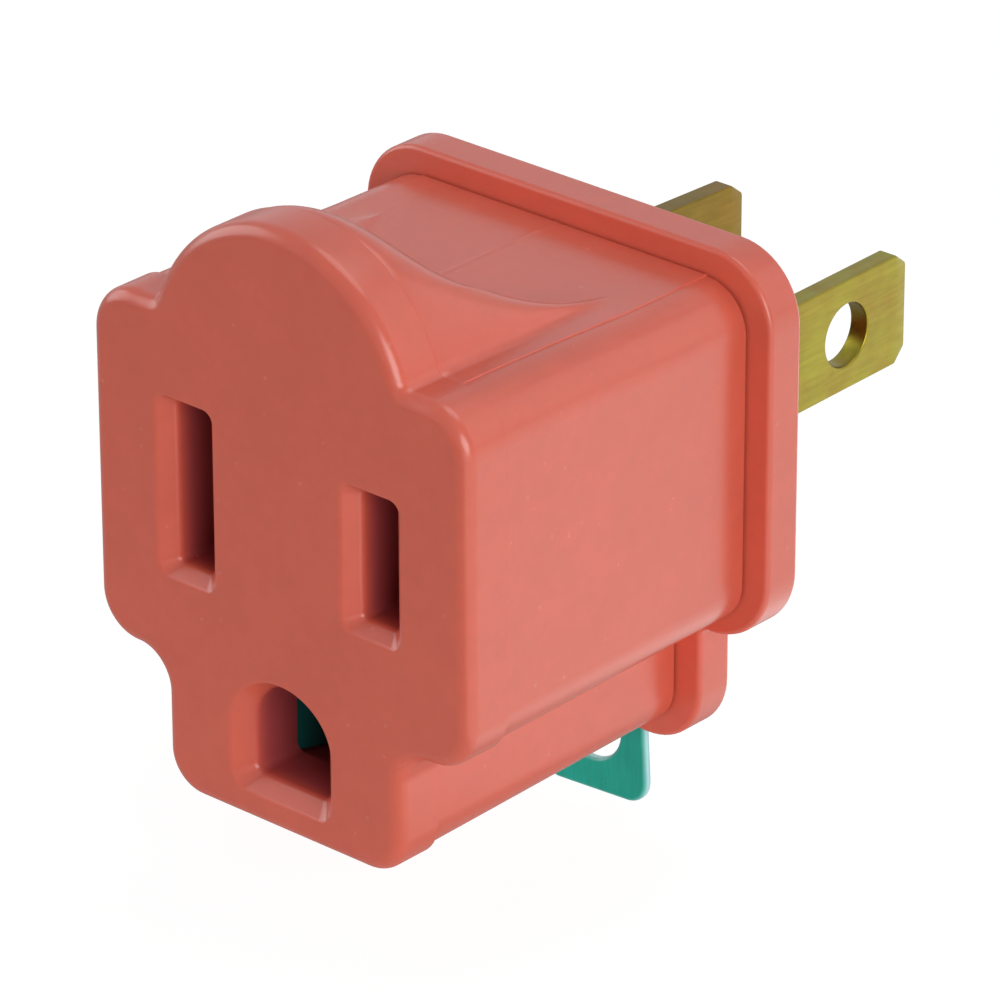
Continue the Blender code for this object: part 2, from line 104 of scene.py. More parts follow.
def arcRows(u, v, radius, start, end, count):
    # centre plus radius times cosine and sine, angles in degrees from start to end, one arc a row
    share = np.linspace(0, 1, count)[None, :]
    angle = np.radians(column(start) + (column(end) - column(start)) * share)
    parts = np.broadcast_arrays(column(u) + column(radius) * np.cos(angle),
                                column(v) + column(radius) * np.sin(angle))
    return np.stack(parts, axis=-1)


def joinRows(parts):
    # stretches of outline end to end, rows brought to equal number
    rows = max(len(part) for part in parts)
    return np.concatenate([np.broadcast_to(p, (rows, *p.shape[1:])) for p in parts], axis=1)


def mirrored(half):
    # the same points with x turned over, in the opposite order
    return half[:, ::-1] * np.array([-1.0, 1.0])


def boxRows(u, v, halfWidth, halfHeight, radius, count=6):
    # rectangle with four quarter circles at its corners, clockwise from the upper right
    w = column(halfWidth) - column(radius)
    h = column(halfHeight) - column(radius)
    return joinRows([arcRows(u + w, v + h, radius, 90, 0, count),
                     arcRows(u + w, v - h, radius, 0, -90, count),
                     arcRows(u - w, v - h, radius, -90, -180, count),
                     arcRows(u - w, v + h, radius, 180, 90, count)])


def unit(rows):
    # each row brought to length one
    return rows / np.maximum(np.linalg.norm(rows, axis=1, keepdims=True), 1e-9)


def roundedPolygon(corners, radius, count):
    # each corner becomes an arc that touches both of its sides: centre on the bisector,
    # radius over the sine of half the corner's angle away from it
    corners = np.asarray(corners, float)
    radius = np.broadcast_to(np.asarray(radius, float), len(corners))
    before = unit(np.roll(corners, 1, axis=0) - corners)
    after = unit(np.roll(corners, -1, axis=0) - corners)
    half = np.arccos(np.clip((before * after).sum(axis=1), -1, 1)) / 2
    centre = corners + unit(before + after) * (radius / np.sin(half))[:, None]
    start = corners + before * (radius / np.tan(half))[:, None] - centre
    end = corners + after * (radius / np.tan(half))[:, None] - centre
    first = np.arctan2(start[:, 1], start[:, 0])
    sweep = np.arctan2(end[:, 1], end[:, 0]) - first
    sweep = (sweep + np.pi) % (2 * np.pi) - np.pi
    angle = first[:, None] + sweep[:, None] * np.linspace(0, 1, count)[None, :]
    arc = np.stack([np.cos(angle), np.sin(angle)], axis=-1)
    return (centre[:, None, :] + radius[:, None, None] * arc).reshape(-1, 2)


def movedOutline(outline, distance):
    # closed outline moved inwards: each point goes along the mitre of its two sides' normals
    onward = np.roll(outline, -1, axis=0)
    side = unit(onward - outline)
    normal = np.stack([side[:, 1], -side[:, 0]], axis=1)
    area = (outline[:, 0] * onward[:, 1] - onward[:, 0] * outline[:, 1]).sum()
    normal *= -np.sign(area)
    mitre = normal + np.roll(normal, 1, axis=0)
    mitre *= 2 / np.maximum((mitre ** 2).sum(axis=1, keepdims=True), 1e-9)
    return outline + mitre * distance


def roundedLevels(low, high, radius, steps):
    # places from low to high and how far the outline is moved in there: a quarter circle at each end
    angle = np.linspace(0, np.pi / 2, steps + 1)
    inset = radius * (1 - np.sin(angle))
    rise = radius * (1 - np.cos(angle))
    return np.concatenate([low + rise, high - rise[::-1]]), np.concatenate([inset, inset[::-1]])


def makeObject(name, data):
    obj = bpy.data.objects.new(name, data)
    bpy.context.scene.collection.objects.link(obj)
    return obj


def readPoints(mesh):
    # all points as rows, in millimetres
    points = np.empty(len(mesh.vertices) * 3, np.float32)
    mesh.vertices.foreach_get("co", points)
    return points.reshape(-1, 3) / millimetre


def outwards(mesh):
    # normals worked out again so that all faces point outwards
    bm = bmesh.new()
    bm.from_mesh(mesh)
    bmesh.ops.recalc_face_normals(bm, faces=bm.faces)
    bm.to_mesh(mesh)
    bm.free()


def loftObject(name, rows, along, axis):
    # closed solid through rows of outline points; axis says which way the rows follow each other
    rows = np.asarray(rows, float)
    count, width = rows.shape[:2]
    height = np.broadcast_to(column(along), (count, width))
    parts = {"X": (height, rows[..., 0], rows[..., 1]), "Y": (rows[..., 0], height, rows[..., 1]),
             "Z": (rows[..., 0], rows[..., 1], height)}[axis]
    points = np.stack(parts, axis=-1).reshape(-1, 3) * millimetre
    index = np.arange(count * width).reshape(count, width)
    beside = np.roll(index, -1, axis=1)
    quads = np.stack([index[:-1], beside[:-1], beside[1:], index[1:]], axis=-1).reshape(-1)
    corners = np.concatenate([quads, index[0][::-1], index[-1]])
    totals = np.concatenate([np.full(len(quads) // 4, 4), [width, width]])
    starts = np.concatenate([[0], np.cumsum(totals)[:-1]])
    mesh = bpy.data.meshes.new(name)
    mesh.vertices.add(len(points))
    mesh.vertices.foreach_set("co", points.astype(np.float32).ravel())
    mesh.loops.add(len(corners))
    mesh.loops.foreach_set("vertex_index", corners.astype(np.int32))
    mesh.polygons.add(len(totals))
    mesh.polygons.foreach_set("loop_start", starts.astype(np.int32))
    mesh.polygons.foreach_set("loop_total", totals.astype(np.int32))
    mesh.update(calc_edges=True)
    outwards(mesh)
    return makeObject(name, mesh)


def plateObject(name, outline, axis, low, high, edgeRound, steps=5):
    # outline pushed along an axis, both rims rounded by a quarter circle
    along, inset = roundedLevels(low, high, edgeRound, steps)
    rows = np.stack([movedOutline(outline, distance) for distance in inset])
    return loftObject(name, rows, along, axis)


def holeTool(name, u, v, radius, axis, low, high, rim, sides=96):
    # round cutter that widens by a quarter circle where it meets each face
    angle = np.linspace(0, np.pi / 2, 6)
    flare = rim * (1 - np.sin(angle))
    depth = rim * (1 - np.cos(angle))
    along = np.concatenate([[low - 1], low + depth, high - depth[::-1], [high + 1]])
    size = radius + np.concatenate([[rim], flare, flare[::-1], [rim]])
    return loftObject(name, arcRows(u, v, size, 0, 360 * (1 - 1 / sides), sides), along, axis)


def sheetObject(name, path, axis, low, high, thickness, edgeRound):
    # sheet of even thickness: a thin slot-shaped outline along a path, moved sideways by mitred normals
    path = np.asarray(path, float)
    side = unit(np.diff(path, axis=0))
    normal = np.stack([-side[:, 1], side[:, 0]], axis=1)
    normal = unit(np.concatenate([normal[:1], normal[:-1] + normal[1:], normal[-1:]]))
    turn = np.ones(len(path))
    turn[1:-1] = 1 / np.sqrt((1 + (side[:-1] * side[1:]).sum(axis=1)) / 2)
    offset = normal * (turn * thickness / 2)[:, None]
    outline = np.concatenate([path + offset, (path - offset)[::-1]])
    return plateObject(name, outline, axis, low, high, edgeRound, steps=3)


def cut(target, tools, operation="DIFFERENCE"):
    # exact booleans one after another, applied, with the tools removed
    for tool in tools:
        modifier = target.modifiers.new(tool.name, "BOOLEAN")
        modifier.operation = operation
        modifier.solver = "EXACT"
        modifier.object = tool
    bpy.context.view_layer.update()
    graph = bpy.context.evaluated_depsgraph_get()
    mesh = bpy.data.meshes.new_from_object(target.evaluated_get(graph))
    target.modifiers.clear()
    target.data = mesh
    for tool in tools:
        bpy.data.objects.remove(tool)


def finishPiece(obj, material, replaced, sharpAngle=35):
    # material, smooth shading with sharp edges kept, and what the piece rides on and stands for
    mesh = obj.data
    mesh.name = obj.name
    mesh.materials.clear()
    mesh.materials.append(material)
    mesh.shade_smooth()
    mesh.set_sharp_from_angle(angle=math.radians(sharpAngle))
    modifier = obj.modifiers.new("evenShading", "WEIGHTED_NORMAL")
    modifier.keep_sharp = True
    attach(obj, "root")
    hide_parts(replaced)
    print("piece", obj.name, len(mesh.polygons), "faces")


# Effects that several materials use

def addNode(tree, kind, place=(0, 0), **settings):
    made = tree.nodes.new(kind)
    made.location = place
    for key, value in settings.items():
        setattr(made, key, value)
    return made


def setInputs(made, **values):
    for key, value in values.items():
        made.inputs[key].default_value = value


def feed(tree, socket, value):
    # value is a plain one or another node's output
    if isinstance(value, (int, float, tuple)):
        socket.default_value = value
    else:
        tree.links.new(value, socket)


def mathNode(tree, operation, *values, clamp=False):
    made = addNode(tree, "ShaderNodeMath", operation=operation, use_clamp=clamp)
    for socket, value in zip(made.inputs, values):
        feed(tree, socket, value)
    return made.outputs[0]


def rangeNode(tree, value, fromMin, fromMax, toMin, toMax, curve="LINEAR"):
    made = addNode(tree, "ShaderNodeMapRange", interpolation_type=curve)
    labels = ("Value", "From Min", "From Max", "To Min", "To Max")
    for label, amount in zip(labels, (value, fromMin, fromMax, toMin, toMax)):
        feed(tree, made.inputs[label], amount)
    return made.outputs["Result"]


def blendColour(tree, factor, first, second, mode="MIX"):
    # the mix node's colours are its inputs 6 and 7 and its output 2
    made = addNode(tree, "ShaderNodeMix", data_type="RGBA", blend_type=mode)
    for socket, value in (("Factor", factor), (6, first), (7, second)):
        feed(tree, made.inputs[socket], value)
    return made.outputs[2]


def noiseNode(tree, vector, scale, detail=2.0, roughness=0.5):
    made = addNode(tree, "ShaderNodeTexNoise")
    setInputs(made, Scale=scale, Detail=detail, Roughness=roughness)
    tree.links.new(vector, made.inputs["Vector"])
    return made.outputs["Fac"]


def newGroup(name, inputs, outputs):
    # inputs and outputs are (name, kind, value); returns the tree and its two ends
    tree = bpy.data.node_groups.new(name, "ShaderNodeTree")
    for label, kind, value in inputs:
        socket = tree.interface.new_socket(label, in_out="INPUT", socket_type=kind)
        socket.default_value = value
    for label, kind in outputs:
        tree.interface.new_socket(label, in_out="OUTPUT", socket_type=kind)
    return tree, addNode(tree, "NodeGroupInput"), addNode(tree, "NodeGroupOutput")


surfaceOutputs = [("Colour", "NodeSocketColor"), ("Roughness", "NodeSocketFloat"),
                  ("Normal", "NodeSocketVector")]


def fillOutputs(tree, result, **sockets):
    for label, socket in sockets.items():
        tree.links.new(socket, result.inputs[label])
    return tree


def grayColour(tree, level):
    # the same level in all three channels
    gray = addNode(tree, "ShaderNodeCombineColor")
    for channel in gray.inputs:
        tree.links.new(level, channel)
    return gray.outputs[0]


def bumpNormal(tree, height, strength, distance):
    bump = addNode(tree, "ShaderNodeBump")
    setInputs(bump, Distance=distance)
    tree.links.new(strength, bump.inputs["Strength"])
    tree.links.new(height, bump.inputs["Height"])
    return bump.outputs[0]


grain = dict(
    slowScale=170,           # noise scales, in cells for each metre
    middleScale=900,
    fineScale=5200,
    middleShare=0.7,         # middle noise beside the slow one in the colour
    average=0.85,            # their usual sum, where the colour stays as given
    cellScale=1500,          # one speck at most in each cell
    speckCore=0.10,          # cell share that is full speck
    speckEdge=0.22,          # and where it has faded
    speckRarity=0.955,       # share of cells without one
    roughSpread=0.10,
    fineHeight=0.5,
    speckHeight=0.4,
    bumpDistance=0.00003,
)


def mouldedGrainGroup():
    # moulded plastic: slow cloudiness in colour, fine spark-eroded grain, rare pale specks
    g = grain
    tree, given, result = newGroup("mouldedGrain", [
        ("Colour", "NodeSocketColor", (0.8, 0.8, 0.8, 1)), ("Pale", "NodeSocketColor", (1, 1, 1, 1)),
        ("Cloud", "NodeSocketFloat", 0.1), ("Specks", "NodeSocketFloat", 0.5),
        ("Roughness", "NodeSocketFloat", 0.3), ("Depth", "NodeSocketFloat", 0.2)], surfaceOutputs)
    place = addNode(tree, "ShaderNodeTexCoord").outputs["Object"]
    slow = noiseNode(tree, place, g["slowScale"], 3)
    fine = noiseNode(tree, place, g["fineScale"], 2, 0.6)
    middle = noiseNode(tree, place, g["middleScale"], 3, 0.6)
    mottled = mathNode(tree, "ADD", slow, mathNode(tree, "MULTIPLY", middle, g["middleShare"]))
    shade = mathNode(tree, "SUBTRACT", mottled, g["average"])
    shade = mathNode(tree, "MULTIPLY", shade, given.outputs["Cloud"])
    gray = grayColour(tree, mathNode(tree, "ADD", shade, 1.0))
    clouded = blendColour(tree, 1.0, given.outputs["Colour"], gray, "MULTIPLY")
    cells = addNode(tree, "ShaderNodeTexVoronoi")
    setInputs(cells, Scale=g["cellScale"], Randomness=1.0)
    tree.links.new(place, cells.inputs["Vector"])
    spot = rangeNode(tree, cells.outputs["Distance"], g["speckCore"], g["speckEdge"], 1.0, 0.0)
    chosen = addNode(tree, "ShaderNodeSeparateColor")
    tree.links.new(cells.outputs["Color"], chosen.inputs[0])
    rare = mathNode(tree, "GREATER_THAN", chosen.outputs[0], g["speckRarity"])
    speck = mathNode(tree, "MULTIPLY", mathNode(tree, "MULTIPLY", spot, rare), given.outputs["Specks"])
    colour = blendColour(tree, speck, clouded, given.outputs["Pale"])
    rough = mathNode(tree, "MULTIPLY", mathNode(tree, "SUBTRACT", middle, 0.5), g["roughSpread"])
    rough = mathNode(tree, "ADD", given.outputs["Roughness"], rough, clamp=True)
    height = mathNode(tree, "ADD", mathNode(tree, "MULTIPLY", fine, g["fineHeight"]), middle)
    height = mathNode(tree, "ADD", height, mathNode(tree, "MULTIPLY", speck, g["speckHeight"]))
    normal = bumpNormal(tree, height, given.outputs["Depth"], g["bumpDistance"])
    return fillOutputs(tree, result, Colour=colour, Roughness=rough, Normal=normal)


rolled = dict(
    streakScale=3800,
    patchScale=330,
    dentScale=1300,
    dullStart=0.40,          # patch noise where tarnish starts
    dullFull=0.72,           # and where it is full
    streakLow=0.35,
    streakHigh=0.65,
    darkest=0.90,            # colour's share in the darkest streak
    palest=1.08,
    dentMiddle=0.4,
    roughSpread=0.25,
    streakHeight=0.6,
    bumpDistance=0.00003,
)


def rolledMetalGroup():
    # sheet metal: streaks drawn out along its length, tarnish in slow patches, small dents
    r = rolled
    tree, given, result = newGroup("rolledMetal", [
        ("Colour", "NodeSocketColor", (0.8, 0.8, 0.8, 1)),
        ("Tarnish", "NodeSocketColor", (0.3, 0.2, 0.1, 1)),
        ("Amount", "NodeSocketFloat", 0.5), ("Roughness", "NodeSocketFloat", 0.3),
        ("Depth", "NodeSocketFloat", 0.2), ("Stretch", "NodeSocketVector", (1, 0.06, 1))], surfaceOutputs)
    place = addNode(tree, "ShaderNodeTexCoord").outputs["Object"]
    drawn = addNode(tree, "ShaderNodeVectorMath", operation="MULTIPLY")
    tree.links.new(place, drawn.inputs[0])
    tree.links.new(given.outputs["Stretch"], drawn.inputs[1])
    streaks = noiseNode(tree, drawn.outputs[0], r["streakScale"], 3, 0.65)
    patches = noiseNode(tree, place, r["patchScale"], 4, 0.6)
    dents = noiseNode(tree, place, r["dentScale"], 3, 0.6)
    dull = rangeNode(tree, patches, r["dullStart"], r["dullFull"], 0.0, 1.0)
    dull = mathNode(tree, "MULTIPLY", dull, given.outputs["Amount"])
    line = rangeNode(tree, streaks, r["streakLow"], r["streakHigh"], r["darkest"], r["palest"])
    colour = blendColour(tree, dull, given.outputs["Colour"], given.outputs["Tarnish"])
    colour = blendColour(tree, 1.0, colour, grayColour(tree, line), "MULTIPLY")
    rough = mathNode(tree, "MULTIPLY", mathNode(tree, "SUBTRACT", dents, r["dentMiddle"]), r["roughSpread"])
    rough = mathNode(tree, "ADD", rough, given.outputs["Roughness"], clamp=True)
    height = mathNode(tree, "ADD", mathNode(tree, "MULTIPLY", streaks, r["streakHeight"]), dents)
    normal = bumpNormal(tree, height, given.outputs["Depth"], r["bumpDistance"])
    return fillOutputs(tree, result, Colour=colour, Roughness=rough, Normal=normal)


# The region behind the face where painted shade deepens with depth, in millimetres
inside = dict(
    slotsHalfWidth=9.8,
    slotsHalfHeight=6.3,
    groundHalfWidth=7.7,
    groundLow=-15.5,
    groundHigh=-5.0,
    plasticNear=0.5,         # depth where the painted shade starts on the walls
    plasticFar=2.1,          # and where they are darkest
    # the same two depths for the painted shade on the green jaws
    greenNear=2.0,
    greenFar=5.0,
)


def shadeDepthGroup():
    # how deep a point lies inside the openings and pockets, the mask for painted shade: zero on the
    # outside, one at the far depth, along an S-shaped curve of the distance behind the face
    tree, given, result = newGroup(
        "shadeDepth", [("Near", "NodeSocketFloat", 1.0), ("Far", "NodeSocketFloat", 3.0)],
        [("Mask", "NodeSocketFloat")])
    apart = addNode(tree, "ShaderNodeSeparateXYZ")
    tree.links.new(addNode(tree, "ShaderNodeTexCoord").outputs["Object"], apart.inputs[0])
    x, y, z = (mathNode(tree, "DIVIDE", socket, millimetre) for socket in apart.outputs)
    side = mathNode(tree, "ABSOLUTE", x)

    def within(halfWidth, low, high):
        # one inside a box across x and z
        across = mathNode(tree, "LESS_THAN", side, halfWidth)
        height = mathNode(tree, "ABSOLUTE", mathNode(tree, "SUBTRACT", z, (low + high) / 2))
        return mathNode(tree, "MULTIPLY", across, mathNode(tree, "LESS_THAN", height, (high - low) / 2))

    slots = within(inside["slotsHalfWidth"], -inside["slotsHalfHeight"], inside["slotsHalfHeight"])
    ground = within(inside["groundHalfWidth"], inside["groundLow"], inside["groundHigh"])
    region = mathNode(tree, "MAXIMUM", slots, ground)
    behind = mathNode(tree, "SUBTRACT", y, float(frontY))
    depth = rangeNode(tree, behind, given.outputs["Near"], given.outputs["Far"], 0.0, 1.0, "SMOOTHSTEP")
    return fillOutputs(tree, result, Mask=mathNode(tree, "MULTIPLY", region, depth))


mouldedGrain = mouldedGrainGroup()
rolledMetal = rolledMetalGroup()
shadeDepth = shadeDepthGroup()


def dressed(name, group, groupValues, **shaderValues):
    # colour, roughness and normal come from a group, and plain numbers are set on the shader
    material = bpy.data.materials.new(name)
    material.use_nodes = True
    tree = material.node_tree
    shader = tree.nodes["Principled BSDF"]
    effect = addNode(tree, "ShaderNodeGroup", (-300, 0), node_tree=group)
    for key, value in groupValues.items():
        effect.inputs[key].default_value = value
    for output, socket in (("Colour", "Base Color"), ("Roughness", "Roughness"), ("Normal", "Normal")):
        tree.links.new(effect.outputs[output], shader.inputs[socket])
    for key, value in shaderValues.items():
        shader.inputs[key.replace("_", " ")].default_value = value
    return material


def metal(name, colour, amount, roughness, depth, **more):
    # rolled metal of a colour, with so much tarnish
    values = dict(Colour=finishes[colour], Tarnish=finishes["brassTarnish"], Amount=amount,
                  Roughness=roughness, Depth=depth, **more)
    return dressed(name, rolledMetal, values, Metallic=1.0)


def overlaid(material, mask, colour):
    # a second colour laid over the first by a mask
    tree = material.node_tree
    base = tree.nodes["Principled BSDF"].inputs["Base Color"]
    tree.links.new(blendColour(tree, mask, base.links[0].from_socket, colour), base)


def paintShadeInside(material, near, far, colour):
    # painted shade: a darker colour fades in between two depths behind the face
    depth = addNode(material.node_tree, "ShaderNodeGroup", (-600, -300), node_tree=shadeDepth)
    setInputs(depth, Near=near, Far=far)
    overlaid(material, depth.outputs["Mask"], colour)


finishes = dict(
    plastic=(0.70, 0.130, 0.080, 1),
    plasticPale=(0.80, 0.42, 0.36, 1),
    brass=(0.255, 0.223, 0.026, 1),
    # painted shade: a darker copy of the blade brass for the neutral blade
    brassShaded=(0.168, 0.116, 0.018, 1),
    brassTarnish=(0.23, 0.125, 0.022, 1),
    # painted shade deep inside the openings, in the plastic and on the green jaws
    boreShade=(0.45, 0.078, 0.084, 1),
    boreShadeGreen=(0.01, 0.13, 0.12, 1),
    bronze=(0.42, 0.23, 0.08, 1),
    rivet=(0.50, 0.40, 0.16, 1),
    green=(0.003, 0.37, 0.275, 1),
    greenWorn=(0.02, 0.52, 0.44, 1),
    # painted highlight on the tab's rolled edges and hole rim
    greenRimHighlight=(0.45, 0.82, 0.84, 1),
)

plasticValues = dict(Colour=finishes["plastic"], Pale=finishes["plasticPale"], Cloud=0.16, Specks=0.12,
                     Roughness=0.25, Depth=0.06)
plasticShader = dict(Subsurface_Weight=0.25, Subsurface_Radius=(1.0, 0.25, 0.15), Subsurface_Scale=0.0006,
                     IOR=1.5)
plastic = dressed("salmonPlastic", mouldedGrain, plasticValues, **plasticShader)
coverPlastic = dressed("salmonCover", mouldedGrain, dict(plasticValues, Specks=0.1), **plasticShader)
brass = metal("bladeBrass", "brass", 0.55, 0.34, 0.25)
# painted shade: the same brass made darker for the neutral blade
shadedBrass = metal("bladeBrassShaded", "brassShaded", 0.6, 0.36, 0.25)
bronze = metal("springBronze", "bronze", 0.4, 0.3, 0.2)
rivetMetal = metal("rivetBrass", "rivet", 0.3, 0.3, 0.2, Stretch=(1, 1, 1))
greenCoat = dressed("greenCoat", rolledMetal, dict(
    Colour=finishes["green"], Tarnish=finishes["greenWorn"], Amount=0.25, Roughness=0.30, Depth=0.2,
    Stretch=(1, 1, 0.1)), IOR=1.33, Coat_Weight=0.2, Coat_Roughness=0.12)
# painted shade darkens the plastic deep in the openings and pockets
paintShadeInside(plastic, inside["plasticNear"], inside["plasticFar"], finishes["boreShade"])
# painted shade darkens the green jaws deep inside the ground hole
paintShadeInside(greenCoat, inside["greenNear"], inside["greenFar"], finishes["boreShadeGreen"])
# painted highlight: pale colour on the tab's rounded edges and hole rim, read from the rim attribute
paintedRimHighlight = addNode(greenCoat.node_tree, "ShaderNodeAttribute", (-600, 300), attribute_name="rim")
overlaid(greenCoat, paintedRimHighlight.outputs["Fac"], finishes["greenRimHighlight"])
print("materials made")


# Front housing: face slab with its dome, scooped body, lip at the rear, openings and pockets

housing = dict(
    slabDepth=3.0,
    underside=-9.95,         # underside of the wide block
    shoulderHeight=10.0,
    lobeHalfWidth=8.15,
    faceCorner=2.7,
    lowerCorner=2.6,
    innerFillet=2.1,
    lobeCorner=2.3,
    leastFlat=0.1,           # left straight between the lower corner and the hollow one
    faceEdge=0.85,           # rounding round the face
    domeRadius=8.75,
    rootFillet=0.6,          # hollow where the dome meets the shoulders
    deckHeight=9.48,
    insertStep=0.08,         # the deck stands this proud of the corners beside it
    insertHalfWidth=9.78,
    insertSlope=0.03,        # width of the insert's little side
    insertFade=0.4,          # length behind the seam in which it rises
    flashPlace=-0.4,         # faint mould line down the deck
    flashHeight=0.035,
    flashWidth=0.07,
    scoopLength=8.6,         # seam to the scoop's foot on the centre line
    scoopSpread=2.0,         # how much later it ends at its sides
    scoopHalfWidth=6.2,
    spreadEnd=7.8,           # outside this the foot stays as late
    spreadPower=4.0,
    startPower=2.0,
    footPower=2.3,
    sidePower=1.4,
    powerEase=4.0,
    seamStep=0.15,           # body smaller than the slab
    seamBevelLength=0.05,    # broken edge round the slab's back
    seamBevelInset=0.04,
    bodyCorner=2.6,
    sideDraft=0.30,
    lobeDraft=0.15,
    tongueInset=0.8,
    edgeRings=10,
    scoopRings=56,
    cornerPoints=16,
    domePoints=181,
)
housing["domeCentre"] = housingHigh[2] - housing["domeRadius"]
seamY = frontY + housing["slabDepth"]


def tRows(halfWidth, top, underside, lobeWidth, bottom, corner, lower, inner, lobeCorner, crown):
    # crown over the top, then the right side as four arcs, then its mirror image up the left
    n = housing["cornerPoints"]
    inner = np.minimum(inner, halfWidth - lower - lobeWidth - housing["leastFlat"])
    right = joinRows([
        arcRows(halfWidth - corner, top - corner, corner, 90, 0, n),
        arcRows(halfWidth - lower, underside + lower, lower, 0, -90, n),
        arcRows(lobeWidth + inner, underside - inner, inner, 90, 180, n),
        arcRows(lobeWidth - lobeCorner, bottom + lobeCorner, lobeCorner, 0, -90, n)])
    return joinRows([crown, right, mirrored(right)])


def crownRows(inset):
    # dome arc with a hollow fillet at each root; the fillet's circle touches dome and shoulder
    inset = column(inset)[:, 0]
    radius = housing["domeRadius"]
    fillet = housing["rootFillet"]
    height = housing["shoulderHeight"] + fillet
    rise = height - housing["domeCentre"]
    place = math.sqrt((radius + fillet) ** 2 - rise ** 2)
    lean = math.degrees(math.atan2(rise, place))
    half = joinRows([
        arcRows(0, housing["domeCentre"], radius - inset, 90, lean, housing["domePoints"] // 2 + 1),
        arcRows(place, height, fillet + inset, 180 + lean, 270, 6)[:, 1:]])
    return joinRows([mirrored(half[:, 1:]), half])


def scoopFall(x, behind):
    # share of the dome left: one minus travel to a power, all to a power that eases towards the sides
    place = np.minimum(np.abs(x), housing["spreadEnd"]) / housing["scoopHalfWidth"]
    travel = behind / (housing["scoopLength"] + housing["scoopSpread"] * place ** housing["spreadPower"])
    ease = np.minimum(place, 1) ** housing["powerEase"]
    power = housing["footPower"] + (housing["sidePower"] - housing["footPower"]) * ease
    return (1 - np.minimum(travel, 1) ** housing["startPower"]) ** power


def insertEdge(outer, lower):
    # two points close together where the deck insert meets the corner, at the given heights
    place = housing["insertHalfWidth"]
    count = len(lower)
    first = np.stack([np.full((count, 1), place - housing["insertSlope"]), column(outer)], axis=-1)
    second = np.stack([np.full((count, 1), place), column(lower)], axis=-1)
    return joinRows([first, second])


def slabRows(inset):
    # the face slab's outline, moved in by the inset all round
    h = housing
    inset = np.asarray(inset, float)
    level = h["shoulderHeight"] - inset
    side = insertEdge(level, level)
    return tRows(housingHigh[0] - inset, h["shoulderHeight"] - inset, h["underside"] + inset,
                 h["lobeHalfWidth"] - inset, housingLow[2] + inset, h["faceCorner"] - inset,
                 h["lowerCorner"] - inset, h["innerFillet"] + inset, h["lobeCorner"] - inset,
                 joinRows([mirrored(side), crownRows(inset), side]))


def bodyRows(y):
    # the dome sinks into the deck behind the seam, and the sides draw in towards the cover
    h = housing
    behind = np.asarray(y, float) - seamY
    share = behind / (bodyEnd - seamY)
    inset = h["seamStep"] + h["lobeDraft"] * share
    deck = h["deckHeight"]
    halfWidth = housingHigh[0] - h["seamStep"] - h["sideDraft"] * share
    crown = crownRows(np.full(len(behind), h["seamStep"]))
    x = crown[..., 0]
    flash = h["flashHeight"] * np.exp(-((x - h["flashPlace"]) / h["flashWidth"]) ** 2)
    sunk = deck + (crown[..., 1] - deck) * scoopFall(x, column(behind))
    grown = np.minimum(column(behind) / h["insertFade"], 1)
    crown = np.stack([x, sunk + (flash + h["insertStep"]) * grown], axis=-1)
    shoulder = h["shoulderHeight"] - h["seamStep"]
    top = deck + (shoulder - deck) * scoopFall(halfWidth - h["bodyCorner"], behind)
    side = insertEdge(top + h["insertStep"] * grown[:, 0], top)
    return tRows(halfWidth, top, h["underside"] + h["seamStep"], h["lobeHalfWidth"] - inset,
                 housingLow[2] + inset, h["bodyCorner"], h["lowerCorner"], h["innerFillet"] + inset,
                 h["lobeCorner"], joinRows([mirrored(side), crown, side]))


def tongueRows(grow):
    # lip behind the body: its outline moved in, under a flat top, and grown a little for the recess
    h = housing
    inset = h["tongueInset"] - np.asarray(grow, float)
    small = h["seamStep"] + h["lobeDraft"] + inset
    top = h["deckHeight"] - inset
    crown = crownRows(np.zeros(len(inset)))
    x = crown[..., 0]
    level = np.broadcast_to(column(top), x.shape)
    side = insertEdge(top, top)
    return tRows(housingHigh[0] - h["seamStep"] - h["sideDraft"] - inset, top,
                 h["underside"] + h["seamStep"] + inset, h["lobeHalfWidth"] - small,
                 housingLow[2] + small, h["bodyCorner"] - inset, h["lowerCorner"] - inset,
                 h["innerFillet"] + small, h["lobeCorner"] - inset,
                 joinRows([mirrored(side), np.stack([x, level], -1), side]))


opening = dict(
    slotHalfWidth=1.18,
    neutralHalfHeight=4.55,
    hotHalfHeight=3.57,
    slotCorner=0.30,
    slotChamfer=0.85,
    groundHalfWidth=2.55,
    groundCorner=0.5,
    groundChamfer=1.0,
    topShare=0.55,           # lead-in above an opening, to that beside it
    bottomShare=0.80,        # and below it
    faceWall=4.0,
    rimRound=0.45,           # rounded edge where the lead-in meets the face
    innerRound=0.55,         # and where it meets the straight wall
)
pocket = dict(
    halfWidth=3.3,
    halfHeight=5.0,
    corner=0.7,
    coreHalfWidth=1.6,
    coreHalfHeight=6.0,
    coreLength=15.0,
    groundHalfWidth=4.6,
    groundTop=-8.6,
)


def openingTool(name, outline, chamfer):
    # grows as a round rim, a 45 degree lead-in and a round inner edge, then runs straight through the
    # wall; each arc meets its line at the radius times the tangent of half that angle
    rim = np.radians(np.linspace(0, 45, 6))
    touch = math.tan(math.radians(22.5))
    rimRound, innerRound = opening["rimRound"], opening["innerRound"]
    outerPlace = frontY + rimRound * (1 - np.cos(rim))
    outerGrow = chamfer + rimRound * (touch - np.sin(rim))
    innerPlace = frontY + chamfer + innerRound * (touch - np.sin(rim[::-1]))
    innerGrow = innerRound * (1 - np.cos(rim[::-1]))
    along = np.concatenate([[frontY - 1], outerPlace, innerPlace, [frontY + opening["faceWall"] + 1]])
    grow = np.concatenate([[outerGrow[0]], outerGrow, innerGrow, [0]])
    return loftObject(name, outline(grow), along, "Y")


